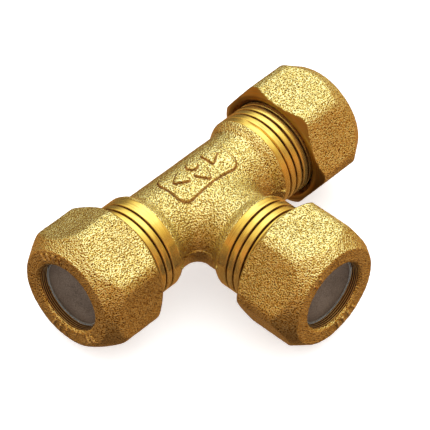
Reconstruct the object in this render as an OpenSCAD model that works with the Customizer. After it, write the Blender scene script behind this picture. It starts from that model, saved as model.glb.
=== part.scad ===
// Equal tee compression fitting: forged brass body, three union nuts with their ring packs.
// Frame: origin where the run and branch axes cross, run along X, branch towards -Y, Z up.

/* [Tube and body] */
// Bore of the nut mouth, a sliding fit on the tube
mouth_bore_d = 15.1; // [15.04:0.02:15.3]
// Distance from the crossing of the axes to each nut mouth
mouth_reach = 37.5; // [37.5:0.1:39]
// Outside diameter of the forged barrels
barrel_d = 18; // [17:0.1:19]
// Diameter of the waterway
waterway_d = 12.8; // [10:0.1:13.4]
// Depth of the tube stop below the crossing of the axes
tube_stop = 13; // [11:0.1:15]
// Fillet radius in the two corners between run and branch
crotch_fillet = 5; // [3:0.5:7]
// Length of the raised pad on the crown of the body
pad_length = 16.4; // [14:0.2:17]
// Width of the raised pad
pad_width = 8.4; // [7.6:0.2:9]
// Height of the pad above the barrel
pad_rise = 0.45; // [0.3:0.05:0.6]
// Height of the marks on the pad, above the barrel
mark_rise = 0.95; // [0.7:0.05:1.2]

/* [Thread] */
// Major diameter of the nut thread
thread_d = 20.955; // [20.8:0.005:21]
// Pitch of the nut thread
thread_pitch = 1.814; // [1.6:0.001:2]
// Where the thread starts, measured from the crossing of the axes
thread_start = 16.6; // [16:0.1:17.5]
// Where the threaded spigot ends
spigot_end = 30; // [29:0.1:30]

/* [Nuts] */
// Width across the flats
nut_flats = 25; // [24.6:0.1:26]
// Diameter the hexagon corners are turned down to
nut_corner_d = 27.7; // [27:0.1:28.4]
// Length of each nut
nut_length = 14.8; // [14:0.1:15.5]
// Length of the tapered nose
nose_length = 4.3; // [3.5:0.1:5]
// Outside diameter of the flat at the mouth
nose_face_d = 22.2; // [21:0.1:22.6]
// Chamfer round the mouth bore
mouth_chamfer = 0.5; // [0.3:0.1:0.6]
// Corner angle of the left run nut
left_corner = 32; // [0:1:60]
// Corner angle of the right run nut
right_corner = 2.5; // [0:0.5:60]
// Corner angle of the branch nut
branch_corner = 59; // [0:1:60]

/* [Ring pack] */
// Bore shared by the rings
ring_bore_d = 15.6; // [15.5:0.02:15.7]
// Outside diameter of the rings
ring_od = 19.6; // [19:0.1:19.6]
// Thickness of the slip washer
slip_t = 0.6; // [0.5:0.1:0.8]
// Length of the split grip ring
grip_l = 1.95; // [1.6:0.05:2]
// Width of the split in the grip ring
split_w = 1.6; // [0.8:0.1:2.4]

/* [Dust plug] */
// Diameter of the plug
plug_d = 15; // [14.8:0.02:15]
// Depth of the plug below the nut mouth
plug_depth = 2.2; // [2.2:0.1:3]
// Length of the plug skirt
plug_skirt = 3.8; // [2:0.1:5]

/* [Hidden] */
$fn = 96;
brass_cast = [0.80, 0.62, 0.27];
brass_turned = [0.86, 0.70, 0.33];
nylon_white = [0.88, 0.87, 0.82];
rubber_black = [0.10, 0.10, 0.11];
plug_grey = [0.42, 0.40, 0.38];

barrel_r = barrel_d / 2;
thread_r = thread_d / 2;
thread_depth = 0.64 * thread_pitch;
nut_rear = mouth_reach - nut_length;
nut_bore_r = thread_r + 0.08;
nut_corner_r = nut_corner_d / 2;
chamfer_r = nut_corner_r - 1.55;
chamfer_l = 1.2;
shoulder = mouth_reach - 2.2;
cavity_r = ring_od / 2 + 0.15;
spigot_room = spigot_end + 1.9;
ring_bore_r = ring_bore_d / 2;
slip_front = shoulder - 0.1;
grip_front = slip_front - slip_t - 0.05;
thrust_front = grip_front - grip_l - 0.05;
thrust_t = 0.6;
socket_r = 7.65;
seat_start = spigot_end - 3;
seat_r = 8.6;
pad_corner = 2;
arrow_r = 1.8;
plug_front = mouth_reach - plug_depth;
plug_r = plug_d / 2;

// Each end is drawn along +Z, with local Y up, then turned to its place.
module at_left() { rotate([90, 0, -90]) children(); }
module at_right() { rotate([90, 0, 90]) children(); }
module at_branch() { rotate([90, 0, 0]) children(); }

module tube(r_out, r_in, z0, z1) {
    translate([0, 0, z0]) difference() {
        cylinder(r = r_out, h = z1 - z0);
        translate([0, 0, -1]) cylinder(r = r_in, h = z1 - z0 + 2);
    }
}

// Outside of one arm: barrel, flare, collar and threaded spigot.
module arm() {
    rings = floor((spigot_end - thread_start) / thread_pitch);
    flat = thread_pitch * 0.24;
    rotate_extrude() polygon(concat(
        [[0, 0], [barrel_r, 0], [barrel_r, 12.9], [barrel_r + 0.35, 13.7],
         [thread_r - 0.3, 15.2], [thread_r, 15.6], [thread_r, thread_start - 0.6],
         [thread_r - thread_depth, thread_start]],
        [for (i = [0 : rings - 1], s = [0 : 3])
            [s == 0 || s == 3 ? thread_r - thread_depth : thread_r,
             thread_start + thread_pitch * i
                + [flat / 2, thread_pitch / 2 - flat, thread_pitch / 2 + flat,
                   thread_pitch - flat / 2][s]]],
        [[thread_r - thread_depth, spigot_end - 0.3],
         [thread_r - thread_depth - 0.3, spigot_end], [0, spigot_end]]));
}

// Inside of one arm: waterway, tube socket and seal seat.
module arm_bore() {
    cylinder(r = waterway_d / 2, h = spigot_end + 1);
    translate([0, 0, tube_stop]) cylinder(r = socket_r, h = spigot_end);
    translate([0, 0, seat_start]) cylinder(r = seat_r, h = spigot_end);
}

// Web that rounds the corner between run and branch.
module crotch(side) {
    c = barrel_r + crotch_fillet - 1;
    translate([0, 0, -4.5]) linear_extrude(9) difference() {
        translate([side > 0 ? 4 : -c, -c]) square([c - 4, c - 4]);
        translate([side * c, -c]) circle(r = crotch_fillet);
    }
}

// Trims a flat outline to a skin that stands proud of the crown of the barrels.
module on_crown(rise) {
    intersection() {
        union() {
            rotate([0, 90, 0]) cylinder(r = barrel_r + rise, h = 30, center = true);
            rotate([90, 0, 0]) cylinder(r = barrel_r + rise, h = 12);
        }
        translate([0, 0, 5]) linear_extrude(6) children();
    }
}

module arrow(place, heading) {
    translate(place) rotate(heading)
        polygon([for (a = [0, 120, 240]) arrow_r * [cos(a), sin(a)]]);
}

// Raised pad with three arrows, one to each mouth, round a boss.
module flow_marks() {
    on_crown(pad_rise) {
        square([pad_length - 2 * pad_corner, pad_width], center = true);
        square([pad_length, pad_width - 2 * pad_corner], center = true);
        for (x = [-1, 1], y = [-1, 1])
            translate([x * (pad_length / 2 - pad_corner), y * (pad_width / 2 - pad_corner)])
                circle(r = pad_corner);
    }
    on_crown(mark_rise) {
        translate([0, 1.6]) circle(r = 1.2);
        arrow([-4.4, 0.6], 180);
        arrow([4.4, 0.6], 0);
        arrow([0, -1.7], 270);
    }
}

module body() {
    difference() {
        union() {
            at_left() arm();
            at_right() arm();
            at_branch() arm();
            sphere(r = barrel_r);
            crotch(1);
            crotch(-1);
            flow_marks();
        }
        at_left() arm_bore();
        at_right() arm_bore();
        at_branch() arm_bore();
        sphere(r = waterway_d / 2);
    }
}

module nut(corner) {
    difference() {
        intersection() {
            rotate(corner) cylinder(r = nut_flats / 2 / cos(30), h = 60, $fn = 6);
            rotate_extrude() polygon([[0, nut_rear], [chamfer_r, nut_rear],
                [nut_corner_r, nut_rear + chamfer_l],
                [nut_corner_r, mouth_reach - nose_length],
                [nose_face_d / 2, mouth_reach], [0, mouth_reach]]);
        }
        rotate_extrude() polygon([[0, nut_rear - 1], [11.4, nut_rear - 1], [11.4, nut_rear],
            [nut_bore_r, nut_rear + 0.8], [nut_bore_r, spigot_room],
            [cavity_r, spigot_room], [cavity_r, shoulder], [0, shoulder]]);
        cylinder(r = mouth_bore_d / 2, h = mouth_reach + 1);
        rotate_extrude() polygon([[0, mouth_reach - mouth_chamfer],
            [mouth_bore_d / 2, mouth_reach - mouth_chamfer],
            [mouth_bore_d / 2 + mouth_chamfer, mouth_reach],
            [mouth_bore_d / 2 + mouth_chamfer, mouth_reach + 1], [0, mouth_reach + 1]]);
    }
}

module slip_washer() { tube(ring_od / 2, ring_bore_r, slip_front - slip_t, slip_front); }

// Split brass ring with three gripping teeth inside and a tapered outside.
module grip_ring() {
    z0 = grip_front - grip_l;
    tooth = grip_l / 3;
    difference() {
        rotate_extrude() polygon(concat(
            [for (i = [0 : 2], s = [0 : 1])
                [ring_bore_r + (s == 0 ? 0.3 : 0), z0 + tooth * i + (s == 0 ? 0 : tooth * 0.8)]],
            [[ring_bore_r + 0.3, grip_front], [ring_od / 2, grip_front],
             [ring_od / 2, grip_front - 0.5], [ring_od / 2 - 0.9, z0]]));
        translate([0, 5, (z0 + grip_front) / 2]) cube([split_w, 10, grip_l + 1], center = true);
    }
}

module thrust_washer() { tube(ring_od / 2, ring_bore_r, thrust_front - thrust_t, thrust_front); }

module seal_ring() {
    rotate_extrude() polygon([[ring_bore_r, seat_start + 0.35], [ring_bore_r + 0.3, seat_start + 0.05],
        [seat_r - 0.05, seat_start + 0.05], [seat_r - 0.05, spigot_end - 0.3],
        [ring_bore_r + 0.3, spigot_end - 0.3], [ring_bore_r, spigot_end - 0.6]]);
}

// Closed grey plug: thin face with a raised rim, and a skirt that sits in the rings.
module dust_plug() {
    difference() {
        translate([0, 0, plug_front - 1 - plug_skirt]) cylinder(r = plug_r, h = 1 + plug_skirt);
        translate([0, 0, plug_front - 2 - plug_skirt]) cylinder(r = plug_r - 0.6, h = 1 + plug_skirt);
        translate([0, 0, plug_front - 0.2]) cylinder(r = plug_r - 0.35, h = 1);
    }
}

module tee_body() { color(brass_cast) body(); }
module left_nut() { color(brass_cast) at_left() nut(left_corner); }
module left_slip_washer() { color(nylon_white) at_left() slip_washer(); }
module left_grip_ring() { color(brass_turned) at_left() grip_ring(); }
module left_thrust_washer() { color(brass_turned) at_left() thrust_washer(); }
module left_seal_ring() { color(rubber_black) at_left() seal_ring(); }
module left_dust_plug() { color(plug_grey) at_left() dust_plug(); }
module right_nut() { color(brass_cast) at_right() nut(right_corner); }
module right_slip_washer() { color(nylon_white) at_right() slip_washer(); }
module right_grip_ring() { color(brass_turned) at_right() grip_ring(); }
module right_thrust_washer() { color(brass_turned) at_right() thrust_washer(); }
module right_seal_ring() { color(rubber_black) at_right() seal_ring(); }
module right_dust_plug() { color(plug_grey) at_right() dust_plug(); }
module branch_nut() { color(brass_cast) at_branch() nut(branch_corner); }
module branch_slip_washer() { color(nylon_white) at_branch() slip_washer(); }
module branch_grip_ring() { color(brass_turned) at_branch() grip_ring(); }
module branch_thrust_washer() { color(brass_turned) at_branch() thrust_washer(); }
module branch_seal_ring() { color(rubber_black) at_branch() seal_ring(); }
module branch_dust_plug() { color(plug_grey) at_branch() dust_plug(); }

tee_body();
left_nut();
left_slip_washer();
left_grip_ring();
left_thrust_washer();
left_seal_ring();
left_dust_plug();
right_nut();
right_slip_washer();
right_grip_ring();
right_thrust_washer();
right_seal_ring();
right_dust_plug();
branch_nut();
branch_slip_washer();
branch_grip_ring();
branch_thrust_washer();
branch_seal_ring();
branch_dust_plug();
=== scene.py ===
"""Equal tee compression fitting: forged brass body, three union nuts, ring packs and dust plugs."""

import math

import bpy
import numpy as np
from mathutils import Matrix, Vector


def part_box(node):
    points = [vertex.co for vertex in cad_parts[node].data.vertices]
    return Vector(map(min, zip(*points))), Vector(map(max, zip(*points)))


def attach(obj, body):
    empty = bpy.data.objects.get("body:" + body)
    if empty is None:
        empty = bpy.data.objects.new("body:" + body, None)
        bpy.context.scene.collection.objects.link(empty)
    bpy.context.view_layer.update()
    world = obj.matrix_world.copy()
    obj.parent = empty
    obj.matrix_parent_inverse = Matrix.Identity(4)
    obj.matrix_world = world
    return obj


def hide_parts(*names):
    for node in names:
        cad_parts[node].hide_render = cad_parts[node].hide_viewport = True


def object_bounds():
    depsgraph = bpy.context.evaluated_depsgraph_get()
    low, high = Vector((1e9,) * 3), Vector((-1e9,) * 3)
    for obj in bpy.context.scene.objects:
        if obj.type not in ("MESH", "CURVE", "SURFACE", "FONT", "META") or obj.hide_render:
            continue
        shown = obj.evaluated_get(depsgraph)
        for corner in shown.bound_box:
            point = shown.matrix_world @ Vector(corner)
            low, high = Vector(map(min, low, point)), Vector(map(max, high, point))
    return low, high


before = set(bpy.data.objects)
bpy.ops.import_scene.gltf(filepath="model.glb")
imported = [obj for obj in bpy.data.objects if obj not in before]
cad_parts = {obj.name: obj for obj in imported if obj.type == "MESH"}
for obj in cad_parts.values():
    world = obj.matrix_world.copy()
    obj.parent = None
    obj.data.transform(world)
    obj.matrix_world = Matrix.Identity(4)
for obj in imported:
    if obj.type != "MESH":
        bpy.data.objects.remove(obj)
cad_low, cad_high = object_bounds()

# Sizes are in millimetres, along each arm from the crossing of the axes.
MM = 0.001
ENDS = ("left", "right", "branch")
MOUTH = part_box("right_nut")[1].x / MM
NUT_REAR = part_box("right_nut")[0].x / MM
SPIGOT_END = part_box("tee_body")[1].x / MM
BARREL_R = 9.0
THREAD_R = 10.478
PITCH = 1.814
THREAD_DEPTH = 0.8
THREAD_START = 16.7
COLLAR_START = 15.3
WATERWAY_R = 6.4
TUBE_STOP = 13.0
SOCKET_R = 7.65
SEAT_R = 8.6
SEAT_DEPTH = 3.0
SEAT_START = SPIGOT_END - SEAT_DEPTH
CROTCH_FILLET = 2.6
HALF_FLATS = 12.5
CORNER_R = 13.85
NOSE_LENGTH = 4.3
NOSE_FACE_R = 11.1
MOUTH_BORE_R = 7.55
MOUTH_CHAMFER = 0.55
PLUG_DEPTH = 2.2
SHOULDER = MOUTH - PLUG_DEPTH
CAVITY_R = 9.95
CAVITY_START = SPIGOT_END + 1.9
REAR_CHAMFER_R = 1.55
REAR_CHAMFER_Z = 1.2
LEAD_IN = 1.0
RUNNING_GAP = 0.09
RING_BORE_R = 7.8
RING_R = 9.8
PAD_HALF = (8.2, 4.2)
PAD_CORNER = 2.0
PAD_RISE = 0.45
MARK_RISE = 0.95
BOSS_CENTRE = (0, 1.6)
BOSS_R = 1.2
ARROW_R = 1.55
ARROWS = ((180, (-4.4, 0.6)), (0, (4.4, 0.6)), (270, (0, -1.7)))
FOOT_WIDTH = 0.28
RIM = 0.2
TICK_R = 0.36
TICK_SPAN = (8.9, 10.3)
CELL = 0.25
# How far each nut is turned, and where the ticks on its front face stand, in degrees.
CORNER_ANGLE = {"left": 32.0, "right": 2.5, "branch": 59.0}
TICK_ANGLES = {"left": (100, 110, 120, 130, 250, 260, 270, 310, 320), "right": (100, 110, 120),
               "branch": (120, 130, 280, 290, 300, 310)}
OUTWARD = {"left": (-1, 0, 0), "right": (1, 0, 0), "branch": (0, -1, 0)}
SIDEWAYS = {"left": (0, -1, 0), "right": (0, 1, 0), "branch": (1, 0, 0)}


# ---- mesh tools -------------------------------------------------------------------------------

def smooth_max(a, b, blend):
    """The larger of two distance fields, with the edge between them rounded."""
    near = np.maximum(blend - np.abs(a - b), 0) / blend
    return np.maximum(a, b) + near**2 * blend / 4


def smooth_step(x, low, high):
    t = np.clip((x - low) / (high - low), 0, 1)
    return t * t * (3 - 2 * t)


def value_noise(points, cell, seed):
    """Smooth random heights between -1 and 1, one knot every cell."""
    knots = np.random.default_rng(seed).uniform(-1, 1, (32, 32, 32))
    at = points / cell
    base = np.floor(at).astype(int)
    part = at - base
    part = part * part * (3 - 2 * part)
    total = np.zeros(len(points))
    for corner in np.ndindex(2, 2, 2):
        share = np.prod(np.where(np.array(corner) == 1, part, 1 - part), axis=1)
        i, j, k = ((base + corner) % 32).T
        total += share * knots[i, j, k]
    return total


def gradient(field, points, step=0.01):
    slopes = []
    for axis in range(3):
        move = np.zeros(3)
        move[axis] = step
        slopes.append((field(points + move) - field(points - move)) / (2 * step))
    return np.stack(slopes, -1)


def surface_net(field, low, high, step):
    """Corners and quads of the surface where a distance field is zero."""
    axes = [np.arange(a, b + step, step) for a, b in zip(low, high)]
    value = field(np.stack(np.meshgrid(*axes, indexing="ij"), -1))
    solid = value < 0
    shape = tuple(n - 1 for n in solid.shape)
    count = np.zeros(shape, int)
    for corner in np.ndindex(2, 2, 2):
        count += solid[tuple(slice(c, c + n) for c, n in zip(corner, shape))]
    cells = np.argwhere((count > 0) & (count < 8))
    index = np.full(shape, -1)
    index[tuple(cells.T)] = np.arange(len(cells))
    total, weight = np.zeros((len(cells), 3)), np.zeros(len(cells))
    for axis in range(3):
        along = np.eye(3, dtype=int)[axis]
        others = [o for o in range(3) if o != axis]
        for pair in np.ndindex(2, 2):
            start = cells.copy()
            start[:, others] += pair
            first, second = value[tuple(start.T)], value[tuple((start + along).T)]
            crossed = (first < 0) != (second < 0)
            share = np.where(crossed, first / np.where(crossed, first - second, 1), 0)
            total += crossed[:, None] * (start + share[:, None] * along)
            weight += crossed
    points = np.array(low) + step * total / weight[:, None]
    for _ in range(4):
        slope = gradient(field, points)
        size = (slope**2).sum(1) + 1e-9
        move = -field(points)[:, None] * slope / size[:, None]
        points += np.clip(move, -step / 2, step / 2)
    quads = []
    for axis in range(3):
        b, c = [(axis + 1) % 3, (axis + 2) % 3]
        near = [slice(None)] * 3
        far = [slice(None)] * 3
        near[axis], far[axis] = slice(0, -1), slice(1, None)
        crossing = np.argwhere(solid[tuple(near)] != solid[tuple(far)])
        inner = (crossing[:, b] > 0) & (crossing[:, c] > 0)
        inner &= (crossing[:, b] < shape[b]) & (crossing[:, c] < shape[c])
        crossing = crossing[inner]
        corners = []
        for db, dc in ((0, 0), (1, 0), (1, 1), (0, 1)):
            cell = crossing.copy()
            cell[:, b] -= db
            cell[:, c] -= dc
            corners.append(index[tuple(cell.T)])
        quad = np.stack(corners, -1)
        leaving = solid[tuple(crossing.T)]
        quad[~leaving] = quad[~leaving][:, ::-1]
        quads.append(quad)
    return points, np.concatenate(quads)


def merged(points, faces):
    """Joins corners that coincide, and drops faces that this closes up."""
    _, first, link = np.unique(np.round(points, 5), axis=0, return_index=True, return_inverse=True)
    link = link.ravel()
    kept = []
    for face in link[faces]:
        ring = [c for n, c in enumerate(face) if c != face[n - 1]]
        if len(set(ring)) > 2:
            kept.append(ring)
    return points[first], kept


def grid_faces(rows, columns, closed):
    """Quads of a grid of points. closed joins the last row back to the first."""
    row = np.arange(rows if closed else rows - 1)[:, None]
    column = np.arange(columns - 1)[None, :]
    here, there = row * columns + column, (row + 1) % rows * columns + column
    return np.stack([here, there, there + 1, here + 1], -1).reshape(-1, 4)


def swept(angles, radius, height):
    """Points of a (radius, height) outline at each of the angles round Z."""
    x = radius * np.cos(angles)[:, None]
    y = radius * np.sin(angles)[:, None]
    return np.stack([x, y, np.broadcast_to(height, x.shape)], -1)


def lathe(profile, segments=144, gap=0.0):
    """Turns a closed (radius, height) outline round Z.

    A gap in degrees, centred on +Y, is left open and capped.
    """
    outline = np.array(profile + profile[:1], float)
    if gap:
        angles = np.radians(np.linspace(90 + gap / 2, 450 - gap / 2, segments))
    else:
        angles = np.linspace(0, 2 * np.pi, segments, endpoint=False)
    points = swept(angles, outline[:, 0], outline[:, 1]).reshape(-1, 3)
    faces = grid_faces(len(angles), len(outline), not gap)
    points, faces = merged(points, faces)
    if gap:
        for angle, turn in ((angles[0], 1), (angles[-1], -1)):
            cap = []
            for r, z in profile:
                spot = np.array([r * math.cos(angle), r * math.sin(angle), z])
                cap.append(int(np.argmin(((points - spot) ** 2).sum(1))))
            faces.append(cap[::turn])
    return points, faces


def rounded(corners, radius, steps=4):
    """Rounds each corner of a closed (radius, height) outline with a short arc."""
    out = []
    total = len(corners)
    for n in range(total):
        before, here, after = (np.array(corners[k % total], float) for k in (n - 1, n, n + 1))
        back, ahead = before - here, after - here
        reach = min(radius, 0.45 * np.linalg.norm(back), 0.45 * np.linalg.norm(ahead))
        start = here + back / np.linalg.norm(back) * reach
        end = here + ahead / np.linalg.norm(ahead) * reach
        for t in np.linspace(0, 1, steps):
            point = (1 - t) ** 2 * start + 2 * t * (1 - t) * here + t * t * end
            out.append((float(point[0]), float(point[1])))
    return out


def arm_axes(end, turn):
    """Columns are where an arm's own X, Y and Z point, after a turn in degrees about the arm."""
    out, side = np.array(OUTWARD[end], float), np.array(SIDEWAYS[end], float)
    cos, sin = math.cos(math.radians(turn)), math.sin(math.radians(turn))
    spin = np.array([[cos, -sin, 0], [sin, cos, 0], [0, 0, 1]])
    return np.stack([side, np.cross(out, side), out], 1) @ spin


def make_object(name, points, faces, materials, body, end=None, turn=0.0, face_material=None):
    """One visible piece, given in millimetres. With an end, its Z is that arm's own axis."""
    points = np.asarray(points) * MM
    if end:
        points = points @ arm_axes(end, turn).T
    mesh = bpy.data.meshes.new(name)
    mesh.from_pydata(points.tolist(), [], [list(map(int, f)) for f in faces])
    for material in materials:
        mesh.materials.append(material)
    if face_material is not None:
        mesh.polygons.foreach_set("material_index", np.asarray(face_material, np.int32))
    mesh.polygons.foreach_set("use_smooth", np.ones(len(mesh.polygons), bool))
    mesh.set_sharp_from_angle(angle=math.radians(35))
    mesh.validate()
    mesh.update()
    piece = bpy.data.objects.new(name, mesh)
    bpy.context.scene.collection.objects.link(piece)
    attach(piece, body)
    return piece


# ---- thread -----------------------------------------------------------------------------------

# One pitch of the thread: how far along it each corner is, and how much of the depth is cut there.
THREAD_FORM = ((0.0, 1.0), (0.03, 0.97), (0.125, 0.2), (0.155, 0.04), (0.19, 0.0), (0.35, 0.0),
               (0.5, 0.0), (0.65, 0.0), (0.81, 0.0), (0.845, 0.04), (0.875, 0.2), (0.97, 0.97))
# A cut deeper than this share of the depth is the bottom of the thread, which gets painted shade.
ROOT_SHARE = 0.55
THREAD_PHASE = {"left": -0.06, "right": 0.05, "branch": 0.51}
TURN_STEPS = 180


def thread_strip(low, high, crest_r, depth, phase, widen=0.0):
    """Angles, heights and radii of a right-hand thread's helical strip between two heights."""
    form = np.array(THREAD_FORM)
    if widen:
        form[:, 0] += np.where(form[:, 0] < 0.5, -widen, widen) * (np.abs(form[:, 0] - 0.5) < 0.47)
    turns = np.arange(math.floor(low / PITCH) - 2, math.ceil(high / PITCH) + 2)
    along = (turns[:, None] + form[None, :, 0] + phase).ravel() * PITCH
    cut = np.tile(form[:, 1], len(turns))
    angle = np.linspace(0, 2 * np.pi, TURN_STEPS + 1)
    z = along[None, :] + PITCH * angle[:, None] / (2 * np.pi)
    radius = crest_r - depth * cut[None, :] * np.ones_like(z)
    return angle, np.clip(z, low, high), radius


def closed_strip(outside, inside, inward=False):
    """Joins two swept grids into one shell. inward turns its faces over."""
    faces = np.concatenate([grid_faces(*outside.shape[:2], False),
                            grid_faces(*inside.shape[:2], False) + outside.shape[0] * outside.shape[1]])
    if inward:
        faces = faces[:, ::-1]
    return merged(np.concatenate([outside.reshape(-1, 3), inside.reshape(-1, 3)]), faces)


def spigot(phase):
    """Machined end of an arm: plain collar, thread, chamfered end, seal seat and tube socket."""
    angle, z, radius = thread_strip(COLLAR_START, SPIGOT_END, THREAD_R, THREAD_DEPTH, phase)
    run_in = smooth_step(z, THREAD_START, THREAD_START + 0.5)
    radius = THREAD_R - (THREAD_R - radius) * run_in
    radius = np.minimum(radius, THREAD_R - THREAD_DEPTH + (SPIGOT_END - z))
    radius = np.minimum(radius, THREAD_R - 0.25 + (z - COLLAR_START))
    bore = np.array([(THREAD_R - THREAD_DEPTH, SPIGOT_END), (SEAT_R + 0.15, SPIGOT_END),
                     (SEAT_R, SPIGOT_END - 0.15), (SEAT_R, SEAT_START), (SOCKET_R, SEAT_START - 0.3),
                     (SOCKET_R, COLLAR_START), (THREAD_R - 0.25, COLLAR_START)])
    points, faces = closed_strip(swept(angle, radius, z), swept(angle, bore[:, 0], bore[:, 1]))
    around = np.hypot(points[:, 0], points[:, 1])
    middle = np.array([np.mean([around[c] for c in face]) for face in faces])
    # Faces deep in the thread's grooves get the painted crevice shade.
    dark = (THREAD_R - middle > ROOT_SHARE * THREAD_DEPTH) & (middle >= SEAT_R + 0.2)
    return points, faces, dark.astype(int)


def nut_thread(phase):
    """Threaded lining of a nut, clear of the spigot's thread by a small running gap."""
    low, high = NUT_REAR + 0.05, CAVITY_START + 0.05
    clear_r, lead_r, wall = THREAD_R + RUNNING_GAP, THREAD_R + LEAD_IN, THREAD_R + 1.4
    angle, z, radius = thread_strip(low, high, clear_r, THREAD_DEPTH - 0.1, phase, widen=0.035)
    radius = np.maximum(radius, lead_r - (z - low))
    radius = np.maximum(radius, clear_r - (high - z))
    radius = clear_r - (clear_r - radius) * (1 - smooth_step(z, high - 1.4, high - 0.6))
    shell = np.array([(clear_r, high), (wall, high), (wall, low), (lead_r, low)])
    return closed_strip(swept(angle, radius, z), swept(angle, shell[:, 0], shell[:, 1]), inward=True)


# ---- forged body ------------------------------------------------------------------------------

def arm_radius(along):
    """Radius of the forged part of an arm, which flares to its collar."""
    return BARREL_R + (THREAD_R - 0.03 - BARREL_R) * smooth_step(along, 12.6, 15.7)


def body_field(p):
    """Distance to the forged body: run, branch, fillets, parting seam with flash at the collars, bores."""
    x, y, z = p[..., 0], p[..., 1], p[..., 2]
    around_run, around_branch = np.hypot(y, z), np.hypot(x, z)
    run = around_run - arm_radius(np.abs(x))
    branch = np.maximum(around_branch - arm_radius(-y), y)
    together = z**2 / (around_run * around_branch + 1e-6)
    fillet = CROTCH_FILLET * np.sqrt(np.clip(1 - together**2, 0, 1)) * smooth_step(-y, 0, 5) + 1e-3
    solid = np.maximum(fillet, np.minimum(run, branch)) - np.hypot(
        np.maximum(fillet - run, 0), np.maximum(fillet - branch, 0))
    flash = 0.3 * np.exp(-(((np.maximum(np.abs(x), -y) - 15.2) / 0.5) ** 2))
    seam = (0.2 + flash) * np.exp(-((z / 0.28) ** 2))
    solid = solid - seam
    end = COLLAR_START + 0.35
    solid = smooth_max(solid, np.maximum(np.abs(x), -y) - end, 0.3)
    reach_run = np.where(np.abs(x) < TUBE_STOP, WATERWAY_R, SOCKET_R)
    reach_branch = np.where(-y < TUBE_STOP, WATERWAY_R, SOCKET_R)
    bore = np.minimum(around_run - reach_run, np.maximum(around_branch - reach_branch, y))
    return smooth_max(solid, -bore, 0.2)


def body_forging(materials):
    reach = COLLAR_START + 0.9
    top = THREAD_R + 0.5
    points, faces = surface_net(body_field, (-reach, -reach, -top), (reach, top, top), CELL)
    slope = gradient(body_field, points)
    normal = slope / np.linalg.norm(slope, axis=1, keepdims=True)
    around = np.minimum(np.hypot(points[:, 1], points[:, 2]),
                        np.where(points[:, 1] < 0, np.hypot(points[:, 0], points[:, 2]), 99))
    outside = around > SOCKET_R + 0.6
    points = points + normal * (forged_grain(points) * outside)[:, None]
    return make_object("tee_body_forging", points, faces, materials, "tee")


def forged_grain(points):
    """Blasted skin of a forging: fine bumps over a slight waviness, in millimetres."""
    return (0.030 * value_noise(points, 0.42, 5) + 0.022 * value_noise(points, 0.8, 6)
            + 0.03 * value_noise(points, 3.1, 7))


def divided(outline, longest=0.35):
    """Splits the long sides of a closed outline, so that it can follow a curved surface."""
    out = []
    for n, here in enumerate(outline):
        after = outline[(n + 1) % len(outline)]
        parts = max(1, math.ceil(math.dist(here, after) / longest))
        out += [np.array(here) + (np.array(after) - here) * k / parts for k in range(parts)]
    return np.array(out)


def crown_height(x, y):
    """Height of the top of the body over a point in plan."""
    z = np.full_like(x, BARREL_R + 0.5)
    for _ in range(12):
        here = body_field(np.stack([x, y, z], -1))
        above = body_field(np.stack([x, y, z + 0.01], -1))
        z = z - here * 0.01 / (above - here)
    return z


def raised_shape(name, outline, foot, height, materials):
    """A raised mark on the crown of the body, with a rounded rim and a line of painted shade round its foot.
    """
    outline = divided(outline)
    along = np.roll(outline, -1, 0) - np.roll(outline, 1, 0)
    outward = np.stack([along[:, 1], -along[:, 0]], 1) / np.linalg.norm(along, axis=1, keepdims=True)
    rows = [np.c_[outline + outward * out, np.full(len(outline), lift)] for out, lift in (
        (FOOT_WIDTH, foot - 0.5), (FOOT_WIDTH, foot), (0.05, foot + 0.02), (0.0, foot + 0.07),
        (-0.03, height - RIM), (-0.08, height - RIM * 0.4), (-0.18, height - RIM * 0.1), (-0.28, height))]
    centre = outline.mean(0)
    inner = outline - outward * 0.28 - centre
    rows += [np.c_[centre + inner * share, np.full(len(outline), height)] for share in (0.75, 0.5, 0.25, 0.0)]
    flat = np.stack(rows, 1)
    points = flat.copy()
    points[..., 2] += crown_height(flat[..., 0], flat[..., 1])
    points, faces = merged(points.reshape(-1, 3), grid_faces(*points.shape[:2], True))
    lift = points[:, 2] - crown_height(points[:, 0], points[:, 1])
    # Faces at the foot of the mark get the painted crevice shade.
    low = [min(lift[c] for c in face) < foot + 0.06 for face in faces]
    make_object(name, points, faces, materials, "tee", face_material=np.array(low, int))


# ---- nuts -------------------------------------------------------------------------------------

def rear_chamfer(around, z):
    return (around - CORNER_R + REAR_CHAMFER_R) * REAR_CHAMFER_Z + (NUT_REAR - z) * REAR_CHAMFER_R


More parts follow.
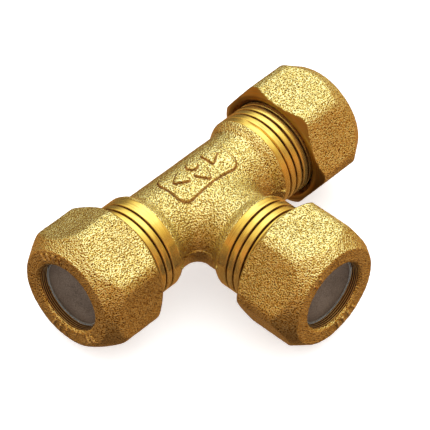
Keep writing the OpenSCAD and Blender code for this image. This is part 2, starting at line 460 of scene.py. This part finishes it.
def nut_field(p, ticks):
    """Distance to a nut: hexagon, nose, rear chamfer, ticks at the given angles, bore and mouth."""
    x, y, z = p[..., 0], p[..., 1], p[..., 2]
    around = np.hypot(x, y)
    solid = around - CORNER_R
    for degrees in (30, 90, 150):
        turn = math.radians(degrees)
        flat = np.abs(x * math.cos(turn) + y * math.sin(turn)) - HALF_FLATS
        solid = smooth_max(solid, flat, 0.3)
    slope = math.hypot(CORNER_R - NOSE_FACE_R, NOSE_LENGTH)
    nose = ((around - NOSE_FACE_R) * NOSE_LENGTH + (z - MOUTH) * (CORNER_R - NOSE_FACE_R)) / slope
    solid = smooth_max(solid, nose, 0.25)
    solid = smooth_max(solid, rear_chamfer(around, z) / math.hypot(REAR_CHAMFER_Z, REAR_CHAMFER_R), 0.15)
    solid = smooth_max(solid, z - MOUTH, 0.15)
    for angle in ticks:
        turn = math.radians(angle)
        out = x * math.cos(turn) + y * math.sin(turn)
        aside = -x * math.sin(turn) + y * math.cos(turn)
        off = np.hypot(aside, out - np.clip(out, *TICK_SPAN))
        tick = np.hypot(off, z - MOUTH + 0.02) - TICK_R
        solid = -smooth_max(-solid, -tick, 0.1)
    solid = smooth_max(solid, NUT_REAR - z, 0.08)
    front_bore = np.where(z < SHOULDER, CAVITY_R, MOUTH_BORE_R)
    bore = around - np.where(z < CAVITY_START, THREAD_R + LEAD_IN - 0.03, front_bore)
    lip = (around - MOUTH_BORE_R - MOUTH_CHAMFER + MOUTH - z) * 0.707
    bore = np.where(z > SHOULDER, np.minimum(bore, lip), bore)
    return smooth_max(solid, -bore, 0.12)


def union_nut(end, materials):
    """A nut of five materials: forged skin, faced ends, mouth bore in painted shade, thread lining in painted
    shade and ticks with a painted highlight.
    """
    turn = CORNER_ANGLE[end]
    marks = [a - turn for a in TICK_ANGLES[end]]

    def field(p):
        return nut_field(p, marks)

    wide = CORNER_R + 0.6
    points, faces = surface_net(field, (-wide, -wide, NUT_REAR - 0.6), (wide, wide, MOUTH + 0.6), CELL)
    slope = gradient(field, points)
    normal = slope / np.linalg.norm(slope, axis=1, keepdims=True)
    around = np.hypot(points[:, 0], points[:, 1])
    machined = (around < MOUTH_BORE_R + 0.1) | (points[:, 2] < NUT_REAR + 0.12)
    machined |= rear_chamfer(around, points[:, 2]) > -0.25
    machined |= (around < THREAD_R + 1.1) & (points[:, 2] < SHOULDER + 0.1)
    skin = forged_grain(points + 40 * (ENDS.index(end) + 1)) * ~machined
    points = points + normal * skin[:, None]
    face_machined = machined[faces].sum(1) >= 3
    # Tick tops get a pale painted highlight.
    painted_highlight = (points[:, 2] > MOUTH + 0.14)[faces].all(1)
    lining, lining_faces = nut_thread(THREAD_PHASE[end])
    all_points = np.concatenate([points, lining])
    all_faces = [list(f) for f in faces] + [[c + len(points) for c in f] for f in lining_faces]
    # Faces deep in the mouth get the bore wall's painted shade.
    deep = (around < MOUTH_BORE_R + 0.12) & (points[:, 2] < MOUTH - 0.3)
    face_kind = np.where(deep[faces].sum(1) >= 3, 2, np.where(painted_highlight, 4, face_machined.astype(int)))
    # Kind 3, the whole thread lining, is painted shade.
    which = np.r_[face_kind, np.full(len(lining_faces), 3)]
    nut = make_object(f"{end}_union_nut", all_points, all_faces, materials, f"{end}_nut",
                      end, turn, which)
    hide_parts(f"{end}_nut")


# ---- rings and plugs --------------------------------------------------------------------------

SLIP_FRONT = SHOULDER - 0.1
GRIP_FRONT = SLIP_FRONT - 0.65
GRIP_LENGTH = 1.95
THRUST_FRONT = GRIP_FRONT - GRIP_LENGTH - 0.05
PLUG_FRONT = SHOULDER
PLUG_R = 7.5
GRIP_RING_SPLIT = 10.5


def ring_piece(name, profile, materials, body, end, gap=0.0):
    """A turned piece that replaces the node of its name. Its front rim gets the last material, which on the
    dust plug is a painted highlight.
    """
    points, faces = lathe(profile, gap=gap)
    rim = [min(points[c][2] for c in face) > PLUG_FRONT - 0.16 for face in faces]
    piece = make_object(name, points, faces, materials, body, end,
                        face_material=np.array(rim, int) * (len(materials) - 1))
    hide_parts(name.replace("_part", ""))


def slip_washer_profile():
    return rounded([(RING_BORE_R, SLIP_FRONT - 0.6), (RING_R, SLIP_FRONT - 0.6), (RING_R, SLIP_FRONT),
                    (RING_BORE_R, SLIP_FRONT)], 0.15)


def thrust_washer_profile():
    back = THRUST_FRONT - 0.6
    return rounded([(RING_BORE_R, back), (RING_R, back), (RING_R, THRUST_FRONT), (9.0, THRUST_FRONT),
                    (8.9, THRUST_FRONT - 0.08), (8.7, THRUST_FRONT - 0.08), (8.6, THRUST_FRONT),
                    (RING_BORE_R, THRUST_FRONT)], 0.08)


def grip_ring_profile():
    back = GRIP_FRONT - GRIP_LENGTH
    tooth = GRIP_LENGTH / 3
    corners = [(RING_R - 0.9, back), (RING_R, GRIP_FRONT - 0.5), (RING_R, GRIP_FRONT),
               (RING_BORE_R + 0.3, GRIP_FRONT)]
    for n in (2, 1, 0):
        corners.append((RING_BORE_R, back + tooth * (n + 0.8)))
        corners.append((RING_BORE_R + 0.3, back + tooth * n + 0.02))
    return rounded(corners, 0.06, 3)


def seal_ring_profile():
    low, high = SEAT_START + 0.05, SPIGOT_END - 0.3
    middle = (low + high) / 2
    outer = SEAT_R - 0.05
    return rounded([(RING_BORE_R, low + 0.35), (RING_BORE_R + 0.25, low), (outer, low), (outer, middle - 0.2),
                    (outer - 0.15, middle), (outer, middle + 0.2), (outer, high), (RING_BORE_R + 0.25, high),
                    (RING_BORE_R, high - 0.35), (RING_BORE_R + 0.12, middle)], 0.14)


def dust_plug_profile():
    back = PLUG_FRONT - 4.8
    face = PLUG_FRONT - 0.2
    outline = rounded([(PLUG_R, back), (PLUG_R, PLUG_FRONT - 0.35), (PLUG_R - 0.12, PLUG_FRONT),
                       (PLUG_R - 0.3, PLUG_FRONT), (PLUG_R - 0.38, face)], 0.08)
    inner = rounded([(PLUG_R - 0.6, PLUG_FRONT - 1.0), (PLUG_R - 0.55, back)], 0.1)
    return outline[1:] + [(0.0, face), (0.0, PLUG_FRONT - 1.0)] + inner


# ---- materials --------------------------------------------------------------------------------

def new_material(name):
    material = bpy.data.materials.new(name)
    material.use_nodes = True
    nodes = material.node_tree.nodes
    return material, nodes, material.node_tree.links, nodes["Principled BSDF"]


def object_coordinates(nodes, links, scale=(1, 1, 1)):
    coordinates = nodes.new("ShaderNodeTexCoord")
    mapping = nodes.new("ShaderNodeMapping")
    mapping.inputs["Scale"].default_value = scale
    links.new(coordinates.outputs["Object"], mapping.inputs["Vector"])
    return mapping.outputs["Vector"]


def noise(nodes, links, vector, scale, detail, roughness):
    texture = nodes.new("ShaderNodeTexNoise")
    texture.inputs["Scale"].default_value = scale
    texture.inputs["Detail"].default_value = detail
    texture.inputs["Roughness"].default_value = roughness
    links.new(vector, texture.inputs["Vector"])
    return texture.outputs["Fac"]


def ramp(nodes, links, value, stops):
    node = nodes.new("ShaderNodeValToRGB")
    elements = node.color_ramp.elements
    while len(elements) < len(stops):
        elements.new(0.5)
    for element, (place, colour) in zip(elements, stops):
        element.position = place
        element.color = (*colour, 1)
    links.new(value, node.inputs["Fac"])
    return node.outputs["Color"]


def mixed(nodes, links, factor, first, second, kind="MIX"):
    node = nodes.new("ShaderNodeMix")
    node.data_type = "RGBA"
    node.blend_type = kind
    if isinstance(factor, float):
        node.inputs[0].default_value = factor
    else:
        links.new(factor, node.inputs[0])
    for socket, value in ((node.inputs[6], first), (node.inputs[7], second)):
        if isinstance(value, tuple):
            socket.default_value = (*value, 1)
        else:
            links.new(value, socket)
    return node.outputs[2]


def bump(nodes, links, height, distance, strength):
    node = nodes.new("ShaderNodeBump")
    node.inputs["Distance"].default_value = distance
    node.inputs["Strength"].default_value = strength
    links.new(height, node.inputs["Height"])
    return node.outputs["Normal"]


def forged_brass():
    """Blasted forging skin: pitted grain, with darker oxide in the pits."""
    material, nodes, links, shader = new_material("forged_brass_skin")
    vector = object_coordinates(nodes, links)
    pits = nodes.new("ShaderNodeTexVoronoi")
    pits.inputs["Scale"].default_value = 3200
    links.new(vector, pits.inputs["Vector"])
    fine = noise(nodes, links, vector, 4200, 1.5, 0.6)
    patches = noise(nodes, links, vector, 160, 3.0, 0.5)
    grain = mixed(nodes, links, 0.5, pits.outputs["Distance"], fine)
    speckle = ramp(nodes, links, grain, ((0.345, (0.05, 0.016, 0.005)), (0.415, (0.48, 0.25, 0.05)),
                                         (0.475, (0.98, 0.79, 0.25)), (0.58, (1.0, 0.98, 0.66))))
    dull = mixed(nodes, links, ramp(nodes, links, patches, ((0.4, (0, 0, 0)), (0.75, (1, 1, 1)))),
                 (1.0, 1.0, 1.0), (0.86, 0.84, 0.80))
    links.new(mixed(nodes, links, 1.0, speckle, dull, "MULTIPLY"), shader.inputs["Base Color"])
    shader.inputs["Metallic"].default_value = 1.0
    rough = nodes.new("ShaderNodeMapRange")
    rough.inputs["To Min"].default_value = 0.34
    rough.inputs["To Max"].default_value = 0.18
    links.new(grain, rough.inputs["Value"])
    links.new(rough.outputs["Result"], shader.inputs["Roughness"])
    links.new(bump(nodes, links, grain, 0.00026, 1.0), shader.inputs["Normal"])
    return material


def across(end, spread):
    """Texture scale that squeezes a noise into rings round an arm's axis."""
    return tuple(1 if o else spread for o in OUTWARD[end])


def machined_brass(name, end, low, high, rough, metallic):
    """Turned brass, with fine tool rings round the arm's axis."""
    material, nodes, links, shader = new_material(f"{name}_{end}")
    rings = noise(nodes, links, object_coordinates(nodes, links, across(end, 0.03)), 7000, 1.5, 0.6)
    smears = noise(nodes, links, object_coordinates(nodes, links), 220, 2.0, 0.5)
    colour = ramp(nodes, links, smears, ((0.3, low), (0.7, high)))
    lined = mixed(nodes, links, ramp(nodes, links, rings, ((0.25, (1, 1, 1)), (0.45, (0, 0, 0)))),
                  colour, (0.5, 0.25, 0.05))
    links.new(lined, shader.inputs["Base Color"])
    shader.inputs["Metallic"].default_value = metallic
    shader.inputs["Roughness"].default_value = rough
    links.new(bump(nodes, links, rings, 0.00002, 0.6), shader.inputs["Normal"])
    return material


def bands(nodes, links, end, period):
    """Even rings round an arm's axis, one every period in metres."""
    wave = nodes.new("ShaderNodeTexWave")
    wave.bands_direction = "X" if OUTWARD[end][0] else "Y"
    wave.inputs["Scale"].default_value = 0.314 / period
    wave.inputs["Distortion"].default_value = 0.6
    wave.inputs["Detail"].default_value = 1.0
    wave.inputs["Detail Scale"].default_value = 0.4
    links.new(object_coordinates(nodes, links), wave.inputs["Vector"])
    return wave.outputs["Fac"]


def crevice_shade_material():
    """Painted shade: dark brass for the bottoms of threads, the nut's thread lining and the foot of each
    raised mark.
    """
    material, nodes, links, shader = new_material("painted_crevice_shade")
    film = noise(nodes, links, object_coordinates(nodes, links), 900, 2.0, 0.5)
    links.new(ramp(nodes, links, film, ((0.35, (0.16, 0.07, 0.02)), (0.65, (0.40, 0.20, 0.06)))),
              shader.inputs["Base Color"])
    shader.inputs["Metallic"].default_value = 0.9
    shader.inputs["Roughness"].default_value = 0.4
    links.new(bump(nodes, links, film, 0.00003, 0.6), shader.inputs["Normal"])
    return material


def bore_wall_painted_shade(end):
    """Wall of a nut's mouth: dark red-brown painted shade of the recess, with coarse tool rings."""
    material, nodes, links, shader = new_material(f"bore_wall_painted_shade_{end}")
    rings = bands(nodes, links, end, 0.00044)
    colour = ramp(nodes, links, rings, ((0.2, (0.04, 0.013, 0.008)), (0.55, (0.16, 0.06, 0.025)),
                                        (0.95, (0.80, 0.48, 0.16))))
    links.new(colour, shader.inputs["Base Color"])
    shader.inputs["Metallic"].default_value = 0.85
    shader.inputs["Roughness"].default_value = 0.4
    links.new(bump(nodes, links, rings, 0.00006, 0.8), shader.inputs["Normal"])
    return material


def moulded(name, low, high, rough, grain_scale, depth):
    """Moulded plastic or rubber with a slight texture."""
    material, nodes, links, shader = new_material(name)
    vector = object_coordinates(nodes, links)
    grain = noise(nodes, links, vector, grain_scale, 3.0, 0.6)
    cloud = noise(nodes, links, vector, 150, 2.0, 0.5)
    mottle = mixed(nodes, links, 0.7, cloud, grain)
    links.new(ramp(nodes, links, mottle, ((0.38, low), (0.62, high))), shader.inputs["Base Color"])
    shader.inputs["Roughness"].default_value = rough
    links.new(bump(nodes, links, grain, depth, 0.7), shader.inputs["Normal"])
    return material


FORGED = forged_brass()
TURNED = {end: machined_brass("turned_brass", end, (0.84, 0.60, 0.15), (0.92, 0.72, 0.24), 0.16, 0.9)
          for end in ENDS}
FACED = {end: machined_brass("faced_brass", end, (0.36, 0.24, 0.07), (0.47, 0.34, 0.12), 0.3, 1.0)
         for end in ENDS}
# The ticks' pale, near-white brass is a painted highlight.
TICK_HIGHLIGHT = {end: machined_brass("tick_painted_highlight", end, (0.98, 0.90, 0.55), (1.0, 0.96, 0.72), 0.25, 1.0)
          for end in ENDS}
# Dark red-brown painted shade for the walls inside the nuts' mouths.
BORE_SHADE = {end: bore_wall_painted_shade(end) for end in ENDS}
# Dark brass standing in for shade in thread grooves, in the nut's thread lining and round the feet of the
# marks.
CREVICE_SHADE = crevice_shade_material()
NYLON = moulded("moulded_nylon", (0.78, 0.76, 0.69), (0.86, 0.85, 0.80), 0.45, 1800, 0.00003)
RUBBER = moulded("moulded_rubber", (0.02, 0.02, 0.022), (0.035, 0.035, 0.038), 0.6, 1500, 0.00005)
PLUG_GREY = moulded("plug_plastic_grey", (0.05, 0.034, 0.023), (0.135, 0.097, 0.068), 0.62, 3200, 0.00006)
# A lighter grey round the plug's front rim, a painted highlight.
PLUG_RIM_HIGHLIGHT = moulded("plug_rim_painted_highlight", (0.12, 0.115, 0.10), (0.17, 0.16, 0.14), 0.5, 2400, 0.00003)


# ---- the fitting ------------------------------------------------------------------------------

def circle_arc(centre, radius, start, stop, steps):
    turn = np.radians(np.linspace(start, stop, steps))
    return [(centre[0] + radius * math.cos(t), centre[1] + radius * math.sin(t)) for t in turn]


def pad_outline(half_x, half_y, corner):
    outline = []
    for sx, sy, start in ((1, 1, 0), (-1, 1, 90), (-1, -1, 180), (1, -1, 270)):
        centre = (sx * (half_x - corner), sy * (half_y - corner))
        outline += circle_arc(centre, corner, start, start + 90, 9)
    return outline


def arrow_outline(centre, heading, size):
    outline = []
    for degrees in (0, 120, 240):
        turn = math.radians(heading + degrees)
        corner = (centre[0] + size * math.cos(turn), centre[1] + size * math.sin(turn))
        outline += circle_arc(corner, 0.3, heading + degrees - 60, heading + degrees + 60, 7)
    return outline


body = body_forging([FORGED])
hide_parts("tee_body")
raised_shape("body_mark_pad", pad_outline(*PAD_HALF, PAD_CORNER), 0.09, PAD_RISE, [FORGED, CREVICE_SHADE])
raised_shape("body_mark_boss", circle_arc(BOSS_CENTRE, BOSS_R, 0, 350, 36), PAD_RISE + 0.01, MARK_RISE,
             [FORGED, CREVICE_SHADE])
for heading, place in ARROWS:
    raised_shape(f"body_mark_arrow_{heading}", arrow_outline(place, heading, ARROW_R), PAD_RISE + 0.01,
                 MARK_RISE, [FORGED, CREVICE_SHADE])

for end in ENDS:
    turned = [TURNED[end]]
    pack, plug = f"{end}_pack", f"{end}_plug"
    points, faces, dark = spigot(THREAD_PHASE[end])
    make_object(f"{end}_threaded_spigot", points, faces, turned + [CREVICE_SHADE], "tee",
                end, CORNER_ANGLE[end], dark)
    union_nut(end, [FORGED, FACED[end], BORE_SHADE[end], CREVICE_SHADE, TICK_HIGHLIGHT[end]])
    ring_piece(f"{end}_slip_washer_part", slip_washer_profile(), [NYLON], pack, end)
    ring_piece(f"{end}_grip_ring_part", grip_ring_profile(), turned, pack, end,
               gap=GRIP_RING_SPLIT)
    ring_piece(f"{end}_thrust_washer_part", thrust_washer_profile(), turned, pack, end)
    ring_piece(f"{end}_seal_ring_part", seal_ring_profile(), [RUBBER], "tee", end)
    ring_piece(f"{end}_dust_plug_part", dust_plug_profile(), [PLUG_GREY, PLUG_RIM_HIGHLIGHT], plug,
               end)


# ---- floor, lights and camera -----------------------------------------------------------------

def pale_floor():
    bpy.ops.mesh.primitive_plane_add(size=4, location=(0, 0, cad_low.z))
    floor = bpy.context.object
    floor.name = "floor"
    material, _, _, shader = new_material("pale_floor")
    shader.inputs["Base Color"].default_value = (0.93, 0.93, 0.93, 1)
    shader.inputs["Roughness"].default_value = 0.9
    shader.inputs["Emission Color"].default_value = (1, 1, 1, 1)
    shader.inputs["Emission Strength"].default_value = 0.5
    floor.data.materials.append(material)
    floor.visible_glossy = False


def area_light(name, place, aim, size, power):
    data = bpy.data.lights.new(name, "AREA")
    data.shape = "RECTANGLE"
    data.size, data.size_y = size
    data.energy = power
    light = bpy.data.objects.new(name, data)
    light.location = place
    light.rotation_mode = "QUATERNION"
    light.rotation_quaternion = (Vector(aim) - Vector(place)).to_track_quat("-Z", "Y")
    bpy.context.scene.collection.objects.link(light)


pale_floor()
area_light("overhead_softbox", (0.26, 0.12, 0.58), (0, 0, 0), (0.6, 0.5), 0.35)


# Round the fitting hangs a white tent over a warm brown surround. Each row is how nearly a direction
# points along TENT_AXIS (1 along it, -1 away from it) and the light that comes from there.
TENT_AXIS = (0.40, 0.25, 0.88)
TENT = ((-1.0, (0.07, 0.032, 0.014)), (-0.83, (0.16, 0.075, 0.028)), (-0.6, (0.30, 0.145, 0.05)),
        (-0.2, (0.53, 0.25, 0.075)), (0.05, (0.68, 0.32, 0.09)), (0.25, (0.62, 0.36, 0.11)),
        (0.42, (0.50, 0.32, 0.12)), (0.58, (0.76, 0.55, 0.20)), (0.70, (1.03, 0.87, 0.40)),
        (0.83, (1.25, 1.18, 0.72)), (0.92, (1.35, 1.36, 1.02)), (1.0, (1.35, 1.38, 1.15)))
# A dark flag stands behind the fitting, off to its right.
FLAG_AXIS = (0.45, 0.88, -0.1)


def studio_world():
    """Even white light on what is matt; the tent and its surround in what is glossy."""
    world = bpy.data.worlds.new("studio")
    world.use_nodes = True
    nodes, links = world.node_tree.nodes, world.node_tree.links
    direction = nodes.new("ShaderNodeTexCoord").outputs["Generated"]

    def nearness(axis, low, high, first, last):
        along = nodes.new("ShaderNodeVectorMath")
        along.operation = "DOT_PRODUCT"
        along.inputs[1].default_value = axis
        links.new(direction, along.inputs[0])
        place = nodes.new("ShaderNodeMapRange")
        for name, value in (("From Min", low), ("From Max", high), ("To Min", first), ("To Max", last)):
            place.inputs[name].default_value = value
        links.new(along.outputs["Value"], place.inputs["Value"])
        return place.outputs["Result"]

    stops = [((along + 1) / 2, colour) for along, colour in TENT]
    tent = ramp(nodes, links, nearness(TENT_AXIS, -1, 1, 0, 1), stops)
    tent = mixed(nodes, links, 1.0, tent, nearness(FLAG_AXIS, 0.80, 0.97, 1, 0.3), "MULTIPLY")
    ray = nodes.new("ShaderNodeLightPath")
    light = mixed(nodes, links, ray.outputs["Is Glossy Ray"], (1.2, 1.2, 1.2), tent)
    links.new(light, nodes["Background"].inputs["Color"])
    bpy.context.scene.world = world


studio_world()
bpy.context.scene.view_settings.view_transform = "Standard"

# Where the camera stands: the direction it looks from, its tilt, distance and aim.
CAMERA_AZIMUTH = -48.6
CAMERA_ELEVATION = 45.2
CAMERA_ROLL = 2.2
CAMERA_DISTANCE = 0.6209
CAMERA_SIDE = (0.00379, -0.00245)
CAMERA_LENS = 255.4


def aim_camera():
    azimuth, elevation, roll = (math.radians(a) for a in (CAMERA_AZIMUTH, CAMERA_ELEVATION, CAMERA_ROLL))
    back = Vector((math.sin(azimuth) * math.cos(elevation), -math.cos(azimuth) * math.cos(elevation),
                   math.sin(elevation)))
    level = Vector((math.cos(azimuth), math.sin(azimuth), 0))
    up = back.cross(level)
    right = level * math.cos(roll) + up * math.sin(roll)
    up = back.cross(right)
    camera = bpy.data.objects.new("camera", bpy.data.cameras.new("camera"))
    camera.data.lens = CAMERA_LENS
    camera.data.sensor_width = 36
    camera.data.clip_start = 0.01
    place = back * CAMERA_DISTANCE + right * CAMERA_SIDE[0] + up * CAMERA_SIDE[1]
    camera.matrix_world = Matrix.Translation(place) @ Matrix((right, up, back)).transposed().to_4x4()
    bpy.context.scene.collection.objects.link(camera)
    bpy.context.scene.camera = camera


aim_camera()
